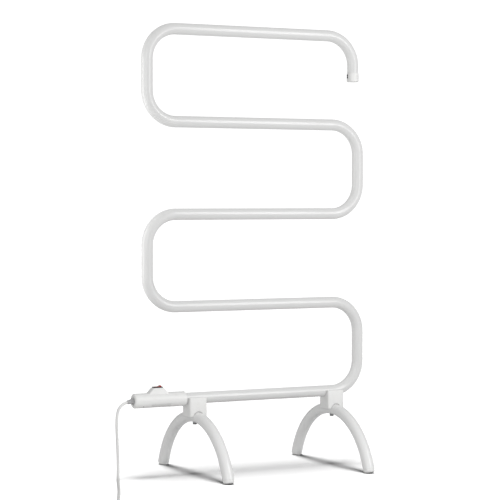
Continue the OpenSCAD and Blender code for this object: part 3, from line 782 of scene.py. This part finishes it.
# %% [markdown]
# ## The feet
#
# Each leg ends in a plastic cap with a stem inside the tube. The cap is turned on the lathe with
# a shallow groove below its rim, leaned to follow the leg, and cut flat by Bisect where it meets
# the floor.

# %% Feet
FOOT_ROUND = 7 * MM
FOOT_BAND = 1.5 * MM
STEM_R = 11.1 * MM
STEM_L = 8 * MM
foot_outline = (
    [(0, -STEM_L), (STEM_R, -STEM_L), (STEM_R, 0.1 * MM), (TUBE_R - 0.35 * MM, 0.1 * MM),
     (TUBE_R, 0.45 * MM), (TUBE_R, 1.1 * MM), (TUBE_R - 0.3 * MM, 1.35 * MM),
     (TUBE_R - 0.3 * MM, 1.65 * MM), (TUBE_R - 0.05 * MM, 1.95 * MM)]
    + arc((TUBE_R - FOOT_ROUND, FOOT_BAND), FOOT_ROUND, 6, 90, 14)
    + [(0, FOOT_BAND + FOOT_ROUND)]
)
for side, end in ((-1, "front"), (1, "back")):
    for hand in ("left", "right"):
        x = middle(hand + "_arch").x
        foot = turned(f"foot_cap_{end}_{hand}", foot_outline)
        place(foot, leg_end(x, side), (180 + side * (90 - FOOT_ANGLE), 0, 0))
        with editing(foot):
            bpy.ops.mesh.bisect(plane_co=(0, 0, 0), plane_no=(0, 0, 1), use_fill=True,
                                clear_inner=True)
        done(foot, FOOT_PLASTIC, "feet", f"foot_{end}_{hand}")

# %% [markdown]
# ## The brackets
#
# A bracket is one moulded block with a trough on top for the rail and a channel below for the
# arch. The block's upright corners are beveled first, with a wide rounding. Two solids of the
# tubes' own size are cut out of it, and a last Bevel breaks every sharp edge.

# %% Brackets
BRACKET_CORNER = 4 * MM
SEAT_GAP = 0.1 * MM
BOLT_WAY_R = 2.7 * MM
for node in ("left_bracket", "right_bracket"):
    low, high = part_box(node)
    at = (low + high) / 2
    bracket = block(node + "_moulded", high - low, at)
    with editing(bracket):
        pick(bracket, "EDGE", lambda at, edge: abs(edge.verts[0].co.z - edge.verts[1].co.z) > MM)
        bpy.ops.mesh.bevel(offset=BRACKET_CORNER, segments=8)
    reach = 4 * TUBE_R
    seat = TUBE_R + SEAT_GAP
    tools = [
        bar("trough", seat, 2 * reach, (at.x, 0, RAIL_Z), (0, 90, 0), 96),
        block("trough_mouth", (2 * reach, 2 * seat, reach), (at.x, 0, RAIL_Z + reach / 2)),
        bar("channel", seat, 2 * reach, (at.x, 0, ARCH_Z), (90, 0, 0), 96),
        block("channel_mouth", (2 * seat, 2 * reach, reach), (at.x, 0, ARCH_Z - reach / 2)),
        bar("bolt_way", BOLT_WAY_R, 2 * reach, (at.x, 0, (ARCH_Z + RAIL_Z) / 2)),
    ]
    cut(bracket, *tools)
    soften(bracket, 0.5 * MM, segments=3, angle=35)
    done(bracket, HOUSING_PLASTIC, "white_plastic", node)

# %% [markdown]
# ## Bolts and washers
#
# One bolt comes up through each arch and bracket into a rivet nut in the rail. Only its hexagon
# head and a washer show, under the top of the arch. A head starts as a cylinder with six sides,
# and is cut by a turned cup, which leaves the curved chamfer of a real hexagon head.

# %% Bolts and washers
bolt_low, bolt_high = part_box("stand_bolts")
washer_low, washer_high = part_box("stand_washers")
LEFT_X = middle("left_arch").x
RIGHT_X = middle("right_arch").x
HEAD_H = 4 * MM
HEAD_R = 4 * MM / math.cos(math.radians(30))
BOLT_R = 2.5 * MM
head = bar("bolt_head", HEAD_R, HEAD_H, (LEFT_X, 0, bolt_low.z + HEAD_H / 2), sides=6)
cup = turned("chamfer", [(0, 0), (3.7 * MM, 0), (HEAD_R + 0.1 * MM, 0.55 * MM),
                         (HEAD_R + 0.1 * MM, HEAD_H), (0, HEAD_H)], steps=48)
place(cup, (LEFT_X, 0, bolt_low.z))
cut(head, cup, operation="INTERSECT")
shank_outline = [(0, 0), (BOLT_R, 0)]
shank_top = bolt_high.z - bolt_low.z - HEAD_H / 2
for i in range(12):
    z = shank_top - (14 - i) * 0.8 * MM
    shank_outline += [(BOLT_R, z), (BOLT_R - 0.35 * MM, z + 0.4 * MM)]
shank_outline += [(BOLT_R - 0.5 * MM, shank_top), (0, shank_top)]
shank = place(turned("bolt_shank", shank_outline, steps=32), (LEFT_X, 0, bolt_low.z + HEAD_H / 2))
cut(head, shank, operation="UNION")
twin = copy_of(head, "bolt_twin", (RIGHT_X - LEFT_X, 0, 0))
done(joined([head, twin], "hexagon_bolts"), BLACK_STEEL, "black_steel", "stand_bolts")

washer_r = (washer_high.y - washer_low.y) / 2
washer_t = washer_high.z - washer_low.z
edge = 0.2 * MM
washer = turned("round_washers", [
    (BOLT_R + edge, 0), (washer_r - edge, 0), (washer_r, edge), (washer_r, washer_t - edge),
    (washer_r - edge, washer_t), (BOLT_R + edge, washer_t)], steps=48, closed=True)
place(washer, (LEFT_X, 0, washer_low.z))
twin = copy_of(washer, "washer_twin", (RIGHT_X - LEFT_X, 0, 0))
done(joined([washer, twin], "round_washers"), ZINC, "zinc", "stand_washers")

# %% [markdown]
# ## The control housing
#
# Two half shells close round the end of the rail. They are turned as one round body with its
# cavity, then Bisect parts it at mid height into a top and a bottom. The bevel on the parting
# edges leaves the fine line where the halves meet. The switch stands on a wedge that is joined
# to the top, and the bottom has screw holes and a sunk place for the rating plate.

# %% Turn the housing
HOUSING_X = housing_low.x
HOUSING_L = housing_high.x - housing_low.x
HOUSING_R = (housing_high.y - housing_low.y) / 2
HOUSING_ROUND = 4 * MM
CAVITY_R = HOUSING_R - 2.2 * MM
RECESS_R = 9.5 * MM
RECESS = 2.5 * MM
END_WALL = 5 * MM
COLLAR = 18 * MM
RELIEF_HOLE = 6.1 * MM
RAIL_BORE = TUBE_R + 0.1 * MM
EDGE = 0.4 * MM

housing_outline = (
    [(RELIEF_HOLE, RECESS), (RECESS_R, RECESS), (RECESS_R, EDGE), (RECESS_R + EDGE, 0)]
    + arc((HOUSING_R - HOUSING_ROUND, HOUSING_ROUND), HOUSING_ROUND, -90, 0, 10)
    + [(HOUSING_R, HOUSING_L - EDGE), (HOUSING_R - EDGE, HOUSING_L),
       (RAIL_BORE + EDGE, HOUSING_L), (RAIL_BORE, HOUSING_L - EDGE),
       (RAIL_BORE, HOUSING_L - COLLAR), (CAVITY_R, HOUSING_L - COLLAR),
       (CAVITY_R, END_WALL), (RELIEF_HOLE, END_WALL)]
)


def half_housing(name, top):
    """The turned housing, cut at the rail's axis; the upper or the lower half is kept."""
    shell = turned(name, housing_outline, steps=96, closed=True)
    place(shell, (HOUSING_X, 0, RAIL_Z), (0, 90, 0))
    with editing(shell):
        bpy.ops.mesh.bisect(plane_co=(0, 0, RAIL_Z), plane_no=(0, 0, 1), use_fill=True,
                            clear_inner=top, clear_outer=not top)
    return shell


# %% Top shell and switch seat
bezel_low, bezel_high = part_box("switch_body")
SWITCH_X = middle("switch_body").x
BEZEL_T = 2 * MM
SEAT_Z = bezel_high.z - BEZEL_T
SEAT_HALF_L = (bezel_high.x - bezel_low.x) / 2 + MM
SEAT_HALF_W = (bezel_high.y - bezel_low.y) / 2 + 1.5 * MM
SEAT_BOTTOM = RAIL_Z + 12.3 * MM
BODY_L = bezel_high.x - bezel_low.x - 1.8 * MM
BODY_W = bezel_high.y - bezel_low.y - 2 * MM
seat_h = SEAT_Z - SEAT_BOTTOM
top_shell = half_housing("housing_top_shell", top=True)
wedge = block("switch_wedge", (2 * (SEAT_HALF_L + seat_h), 2 * SEAT_HALF_W, seat_h),
              (SWITCH_X, 0, SEAT_BOTTOM + seat_h / 2))
with editing(wedge):
    pick(wedge, "FACE", lambda at, face: face.normal.z > 0.9)
    bpy.ops.transform.resize(value=(SEAT_HALF_L / (SEAT_HALF_L + seat_h), 1, 1))
soften(wedge, 0.9 * MM, segments=4)
cut(top_shell, wedge, operation="UNION")
cut(top_shell, block("switch_way", (BODY_L, BODY_W, 40 * MM), (SWITCH_X, 0, RAIL_Z + 26 * MM)))
soften(top_shell, 0.22 * MM, segments=2, angle=32)
done(top_shell, HOUSING_PLASTIC, "white_plastic", "housing_top")

# %% Bottom shell
SCREW_SPOTS = [(21 * MM, -9 * MM), (21 * MM, 9 * MM), (89 * MM, 9 * MM)]
SCREW_HEAD_Z = RAIL_Z - 11.4 * MM
PLATE_FROM = 40 * MM
PLATE_L = 46 * MM
PLATE_ANGLE = 63
PLATE_SUNK = 0.6 * MM


def band(name, inner, outer, first, last, half_angle, steps):
    """Part of a round wall about the housing's axis, with its middle straight down."""
    outline = [(inner, first), (outer, first), (outer, last), (inner, last)]
    part = turned(name, outline, steps=steps, sweep=2 * half_angle, closed=True)
    place(part, turn=(0, 0, half_angle))
    return place(part, (HOUSING_X, 0, RAIL_Z), (0, 90, 0))


bottom_shell = half_housing("housing_bottom_shell", top=False)
sunk = band("plate_sunk", HOUSING_R - PLATE_SUNK, HOUSING_R + MM, PLATE_FROM,
            PLATE_FROM + PLATE_L, PLATE_ANGLE, 36)
SCREW_HOLE_R = 2.2 * MM
SCREW_HOLE_L = 10 * MM
holes = [bar("screw_hole", SCREW_HOLE_R, SCREW_HOLE_L,
             (HOUSING_X + x, y, SCREW_HEAD_Z - SCREW_HOLE_L / 2), sides=32)
         for x, y in SCREW_SPOTS]
cut(bottom_shell, sunk, *holes)
soften(bottom_shell, 0.22 * MM, segments=2, angle=32)
done(bottom_shell, HOUSING_PLASTIC, "white_plastic", "housing_bottom")

# %% Rating plate
plate = band("rating_plate_blank", HOUSING_R - PLATE_SUNK, HOUSING_R - 0.2 * MM,
             PLATE_FROM + 0.5 * MM, PLATE_FROM + PLATE_L - 0.5 * MM, PLATE_ANGLE - 2, 36)
soften(plate, 0.1 * MM, segments=2)
done(plate, PLATE_FILM, "plate", "rating_plate")

# %% [markdown]
# ## Small screws
#
# Pan-head screws are turned with a domed head, and a cross of two thin blocks is cut from it for
# the driver. The heads of the three housing screws sit just inside their holes, and the two on
# the end cap stand proud. All five are blackened.

# %% Screws
def cross_screw(name, head_r, head_h, shank_r, length, at, turn):
    """A pan-head screw with its shank along -Z before it is turned."""
    outline = ([(0, -length), (shank_r * 0.6, -length), (shank_r, shank_r - length), (shank_r, 0),
                (head_r - 0.1 * MM, 0), (head_r, 0.1 * MM), (head_r, head_h * 0.4)]
               + [(head_r * math.cos(a), head_h * (0.4 + 0.6 * math.sin(a)))
                  for a in (0.4, 0.8, 1.15)] + [(0, head_h)])
    screw = turned(name, outline, steps=32)
    for size in ((head_r * 1.3, 0.5 * MM), (0.5 * MM, head_r * 1.3)):
        cut(screw, block("slot", (*size, head_h), (0, 0, head_h * 0.85)))
    return place(screw, at, turn)


housing_screws = [cross_screw("housing_screw", 2.05 * MM, 1.8 * MM, 1.35 * MM, 16 * MM,
                              (HOUSING_X + x, y, SCREW_HEAD_Z), (180, 0, 0))
                  for x, y in SCREW_SPOTS]
done(joined(housing_screws, "housing_cross_screws"), BLACK_STEEL, "black_steel", "housing_screws")

CAP_WALL = MM
cap_screw_low, cap_screw_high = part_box("end_cap_screws")
CAP_HEAD_R = 2.1 * MM
cap_screw_z = [cap_screw_low.z + CAP_HEAD_R, cap_screw_high.z - CAP_HEAD_R]
cap_face_x = FREE_END.x - TUBE_R - CAP_WALL
cap_screws = [cross_screw("cap_screw", CAP_HEAD_R, 1.5 * MM, 1.5 * MM, 6 * MM,
                          (cap_face_x, 0, z), (0, -90, 0)) for z in cap_screw_z]
done(joined(cap_screws, "end_cap_cross_screws"), BLACK_STEEL, "black_steel", "end_cap_screws")

# %% [markdown]
# ## The end cap
#
# The open end of the rail wears a thin cup with a rounded rim. It is turned as a hollow shape and
# drilled for the two screws.

# %% End cap
cap_low, cap_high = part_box("end_cap")
CAP_R = (cap_high.y - cap_low.y) / 2
CAP_H = cap_high.z - cap_low.z
CAP_FLOOR = 2 * MM
cap_outline = ([(0, 0)] + arc((CAP_R - 2 * MM, 2 * MM), 2 * MM, -90, 0, 8)
               + [(CAP_R, CAP_H - 0.4 * MM), (CAP_R - 0.3 * MM, CAP_H), (RAIL_BORE, CAP_H),
                  (RAIL_BORE, CAP_FLOOR), (0, CAP_FLOOR)])
end_cap = place(turned("end_cap_cup", cap_outline, steps=96), (FREE_END.x, 0, cap_low.z))
cut(end_cap, *[bar("drill", 1.55 * MM, 8 * MM, (cap_face_x, 0, z), (0, 90, 0), 24)
               for z in cap_screw_z])
done(end_cap, HOUSING_PLASTIC, "white_plastic", "end_cap")

# %% [markdown]
# ## The strain relief
#
# A soft grey sleeve guards the cord where it leaves the housing. It is ringed so that it bends
# evenly and tapers towards the cord. The ribbed tail droops a little, and a flange inside the
# end wall holds it.

# %% Strain relief
RELIEF_R = 6 * MM
RELIEF_TIP_R = 4 * MM
RELIEF_TAIL = 14 * MM
RELIEF_DROOP = 8
RIBS = 4
rib_step = RELIEF_TAIL / RIBS
tail_outline = [(0, -MM), (RELIEF_R - 0.3 * MM, -MM)]
for i in range(RIBS):
    rib_r = RELIEF_R + 0.2 * MM - i * 0.55 * MM
    root_r = max(RELIEF_TIP_R, rib_r - 1.1 * MM)
    z = i * rib_step
    tail_outline += [(rib_r - 0.2 * MM, z), (rib_r, z + 0.25 * MM), (rib_r, z + rib_step * 0.5),
                     (rib_r - 0.25 * MM, z + rib_step * 0.56), (root_r, z + rib_step * 0.62),
                     (root_r - 0.05 * MM, z + rib_step * 0.95)]
tail_outline += [(RELIEF_TIP_R - 0.3 * MM, RELIEF_TAIL - 0.1 * MM),
                 (CORD_D / 2 + 0.1 * MM, RELIEF_TAIL), (0, RELIEF_TAIL)]
relief = place(turned("ribbed_strain_relief", tail_outline, steps=48), (HOUSING_X, 0, RAIL_Z),
               (0, -90 - RELIEF_DROOP, 0))
neck = turned("relief_neck", [
    (0, -0.5 * MM), (RELIEF_R - 0.1 * MM, -0.5 * MM), (RELIEF_R - 0.1 * MM, END_WALL + 0.1 * MM),
    (RELIEF_R + 2.4 * MM, END_WALL + 0.1 * MM), (RELIEF_R + 2.4 * MM, END_WALL + 2.5 * MM),
    (0, END_WALL + 2.5 * MM)], steps=48)
cut(relief, place(neck, (HOUSING_X, 0, RAIL_Z), (0, 90, 0)), operation="UNION")
done(relief, RELIEF_RUBBER, "relief_grey", "strain_relief")

# %% [markdown]
# ## The rocker switch
#
# The switch is a standard black snap-in body with a red rocker. The body's bezel is beveled at
# its corners, and its well is cut out of it. The rocker is a slice of a cylinder with a shallow V
# on top: Bisect adds the line across the middle, and that line is lowered. It turns on its own
# body, so it and its marks ride on the CAD's rocker.

# %% Switch body
bezel_size = bezel_high - bezel_low
bezel = block("switch_bezel", (bezel_size.x, bezel_size.y, BEZEL_T),
              (SWITCH_X, 0, bezel_high.z - BEZEL_T / 2))
with editing(bezel):
    pick(bezel, "EDGE", lambda at, edge: abs(edge.verts[0].co.z - edge.verts[1].co.z) > MM)
    bpy.ops.mesh.bevel(offset=1.5 * MM, segments=6)
body_h = SEAT_Z - bezel_low.z
body = block("switch_snap_body", (BODY_L - 0.2 * MM, BODY_W - 0.2 * MM, body_h + MM),
             (SWITCH_X, 0, bezel_low.z + (body_h + MM) / 2))
cut(bezel, body, operation="UNION")
rocker_low, rocker_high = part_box("rocker")
PIVOT = Vector(frame["joints"][0]["pos_m"])
ROCKER_R = bezel_size.x / 2 - 1.8 * MM
ROCKER_HALF_W = bezel_size.y / 2 - 2.6 * MM
SWING_GAP = 0.3 * MM
well_floor = PIVOT.z - 8.8 * MM
cut(bezel, block("well", (2 * (ROCKER_R + SWING_GAP), 2 * (ROCKER_HALF_W + SWING_GAP), 20 * MM),
                 (SWITCH_X, 0, well_floor + 10 * MM)))
soften(bezel, 0.3 * MM, segments=3)
done(bezel, SWITCH_BLACK, "switch_black", "switch_body")

# %% Rocker
ROCKER_REST = -11
VALLEY = 2.6 * MM
CREST = 4.8 * MM
ROCKER_DEPTH = 3 * MM
rocker_l = 2 * math.sqrt(ROCKER_R ** 2 - CREST ** 2)
rocker = bar("red_rocker", ROCKER_R, 2 * ROCKER_HALF_W, (0, 0, 0), (90, 0, 0), 96)
cut(rocker, block("rocker_trim", (3 * ROCKER_R, 3 * ROCKER_R, CREST + ROCKER_DEPTH),
                  (0, 0, (CREST - ROCKER_DEPTH) / 2)), operation="INTERSECT")
with editing(rocker):
    bpy.ops.mesh.bisect(plane_co=(0, 0, 0), plane_no=(1, 0, 0))
    pick(rocker, "EDGE", lambda at, edge: abs(at.x) < 0.1 * MM and at.z > CREST - 0.1 * MM
         and abs(at.y) < 0.1 * MM)
    bpy.ops.transform.translate(value=(0, 0, VALLEY - CREST))
soften(rocker, 0.45 * MM, segments=4, angle=8)
AXLE_R = 1.5 * MM
axle = bar("axle", AXLE_R, rocker_high.y - rocker_low.y, (0, 0, 0), (90, 0, 0), 32)
cut(rocker, axle, operation="UNION")
place(rocker, turn=(0, ROCKER_REST, 0))
place(rocker, PIVOT)
done(rocker, SWITCH_RED, "switch_red", "rocker", body="rocker")

# %% On and off marks
SLOPE = math.degrees(math.atan((CREST - VALLEY) / (rocker_l / 2)))
MARK_T = 0.12 * MM
on_mark = block("on_off_marks", (2.8 * MM, 0.5 * MM, MARK_T))
soften(on_mark, 0.03 * MM, segments=2)
off_mark = turned("off_mark", [(0.9 * MM, -MARK_T / 2), (1.4 * MM, -MARK_T / 2),
                               (1.4 * MM, MARK_T / 2), (0.9 * MM, MARK_T / 2)],
                  steps=40, closed=True)
for mark, side in ((on_mark, 1), (off_mark, -1)):
    place(mark, (side * rocker_l / 4, 0, (VALLEY + CREST) / 2), (0, -side * SLOPE, 0))
marks = joined([on_mark, off_mark], "on_off_marks")
place(marks, turn=(0, ROCKER_REST, 0))
place(marks, PIVOT)
done(marks, MARK_WHITE, "white_plastic", body="rocker")

# %% [markdown]
# ## Finishes for the pieces inside
#
# The wires, terminals and clamps inside the housing, the heating cable in the rail and the rivet
# nuts are right as the CAD made them. Each keeps its mesh and gets one of the finishes above.

# %% Finish the CAD pieces
inside = [
    (SILICONE, ["heating_cable", "heater_lead"]),
    (ZINC, ["rivet_nuts", "terminal_screws", "thermal_cutout", "earth_rivet", "clamp_screws"]),
    (BRASS, ["switch_blades", "earth_tag"]),
    (NYLON, ["terminal_block", "cord_clamp"]),
    (LAMP_GLASS, ["switch_lamp"]),
    (WIRE_BROWN, ["live_lead"]),
    (WIRE_BLUE, ["neutral_lead"]),
    (EARTH_WIRE, ["earth_lead"]),
    (SHEATH, ["sheathed_end"]),
]
for finish, nodes in inside:
    for node in nodes:
        frame["nodes"][node].material_slots[0].material = finish
    print(finish.name, nodes)

# %% [markdown]
# ## Floor and surround
#
# The rack is white on white, so only greys tell its shape. To the camera the floor and the room
# are pure white, and only soft shadows show. To the light and to the gloss of the paint they are
# a dimmer grey, as between flags in a studio, which gives each tube its darker edges.

# %% Floor
FLOOR_R = 60
WHITE = colour(1, 1, 1)


def split_by_ray(tree, to_light, to_camera, output):
    """Shows one shader to camera rays, and another to the rays that carry light."""
    ray = tree.nodes.new("ShaderNodeLightPath")
    choose = tree.nodes.new("ShaderNodeMixShader")
    tree.links.new(ray.outputs["Is Camera Ray"], choose.inputs[0])
    tree.links.new(to_light.outputs[0], choose.inputs[1])
    tree.links.new(to_camera.outputs[0], choose.inputs[2])
    tree.links.new(choose.outputs[0], output.inputs["Surface"])


bpy.ops.object.select_all(action="DESELECT")
bpy.ops.mesh.primitive_circle_add(vertices=96, radius=FLOOR_R, fill_type="NGON")
floor = start("studio_floor")
paper = bpy.data.materials.new("white_paper")
paper.use_nodes = True
paper_tree = paper.node_tree
paper_white = paper_tree.nodes["Principled BSDF"]
paper_white.inputs["Base Color"].default_value = colour(0.24, 0.24, 0.24)
paper_white.inputs["Roughness"].default_value = 0.9
paper_white.inputs["Specular IOR Level"].default_value = 0
paper_grey = paper_tree.nodes.new("ShaderNodeBsdfDiffuse")
paper_grey.inputs["Color"].default_value = colour(0.125, 0.125, 0.125)
split_by_ray(paper_tree, paper_grey, paper_white, paper_tree.nodes["Material Output"])
floor.data.materials.append(paper)
floor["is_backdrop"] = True
print("floor", FLOOR_R, "m")

# %% Surround
HORIZON_LIGHT = 0.40
ZENITH_LIGHT = 0.62
world = bpy.data.worlds.new("white_room")
bpy.context.scene.world = world
world.use_nodes = True
room = world.node_tree
room_light = room.nodes["Background"]
direction = room.nodes.new("ShaderNodeTexCoord")
split = room.nodes.new("ShaderNodeSeparateXYZ")
rise = room.nodes.new("ShaderNodeMapRange")
rise.inputs["To Min"].default_value = HORIZON_LIGHT
rise.inputs["To Max"].default_value = ZENITH_LIGHT
room.links.new(direction.outputs["Generated"], split.inputs[0])
room.links.new(split.outputs["Z"], rise.inputs["Value"])
room.links.new(rise.outputs[0], room_light.inputs["Strength"])
room_light.inputs["Color"].default_value = WHITE
room_seen = room.nodes.new("ShaderNodeBackground")
room_seen.inputs["Color"].default_value = WHITE
room_seen.inputs["Strength"].default_value = 1.1
split_by_ray(room, room_light, room_seen, room.nodes["World Output"])
bpy.context.scene.view_settings.view_transform = "Standard"
print("surround ready")

# %% [markdown]
# ## Lights
#
# A tall narrow box at the front right draws the bright line along every rail, and a wide one at
# the front left fills the rest. Light linking gives the other lights one job each. A low one
# reaches all but the rail, so the stand and the housing are as bright as the rails above them. A
# small one at the left lights the rail's columns. The last, overhead, reaches the floor alone: it
# makes the soft shadows under the arches, and leaves the rack as it is.

# %% Lights
def light_group(name, *pieces):
    """A collection that a light can be linked to."""
    group = bpy.data.collections.new(name)
    for piece in pieces:
        group.objects.link(piece)
    return group


def softbox(name, at, target, width, height, power, receivers):
    """A rectangular area light that faces a target and lights only its receivers."""
    light = bpy.data.lights.new(name, "AREA")
    light.shape = "RECTANGLE"
    light.size = width
    light.size_y = height
    light.energy = power
    lamp = bpy.data.objects.new(name, light)
    lamp.location = at
    lamp.rotation_euler = (Vector(target) - Vector(at)).to_track_quat("-Z", "Y").to_euler()
    lamp.light_linking.receiver_collection = receivers
    bpy.context.scene.collection.objects.link(lamp)
    return lamp


RACK_MIDDLE = Vector((0, 0, 0.55))
rack_pieces = [o for o in bpy.data.objects if o.type in ("MESH", "CURVE") and o != floor]
rack_group = light_group("rack_receivers", *rack_pieces)
rail_group = light_group("rail_receiver", rail)
low_group = light_group("low_receivers", *[o for o in rack_pieces if o != rail])
floor_group = light_group("floor_receiver", floor)
softbox("front_strip", (1.15, -2.05, 1.35), RACK_MIDDLE, 0.6, 1.8, 20, rack_group)
softbox("front_fill", (-2.2, -2.6, 1.2), RACK_MIDDLE, 1.6, 1.6, 10, rack_group)
softbox("low_glow", (-0.9, -2.3, 0.75), Vector((0, 0, 0.12)), 1.4, 0.6, 11, low_group)
softbox("left_glow", (-0.85, 0.15, 0.68), (-0.25, 0, 0.68), 0.5, 0.7, 2.4, rail_group)
overhead_data = bpy.data.lights.new("overhead", "SUN")
overhead_data.energy = 14
overhead_data.angle = math.radians(22)
overhead = bpy.data.objects.new("overhead", overhead_data)
overhead.light_linking.receiver_collection = floor_group
bpy.context.scene.collection.objects.link(overhead)
print("lights ready")

# %% [markdown]
# ## The size of the finished model
#
# The box round every visible piece, the floor left out, is printed. The finished model
# may not be larger than the CAD model.

# %% Finish
low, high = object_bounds()
print("visual box", [round(x, 4) for x in low], [round(x, 4) for x in high])
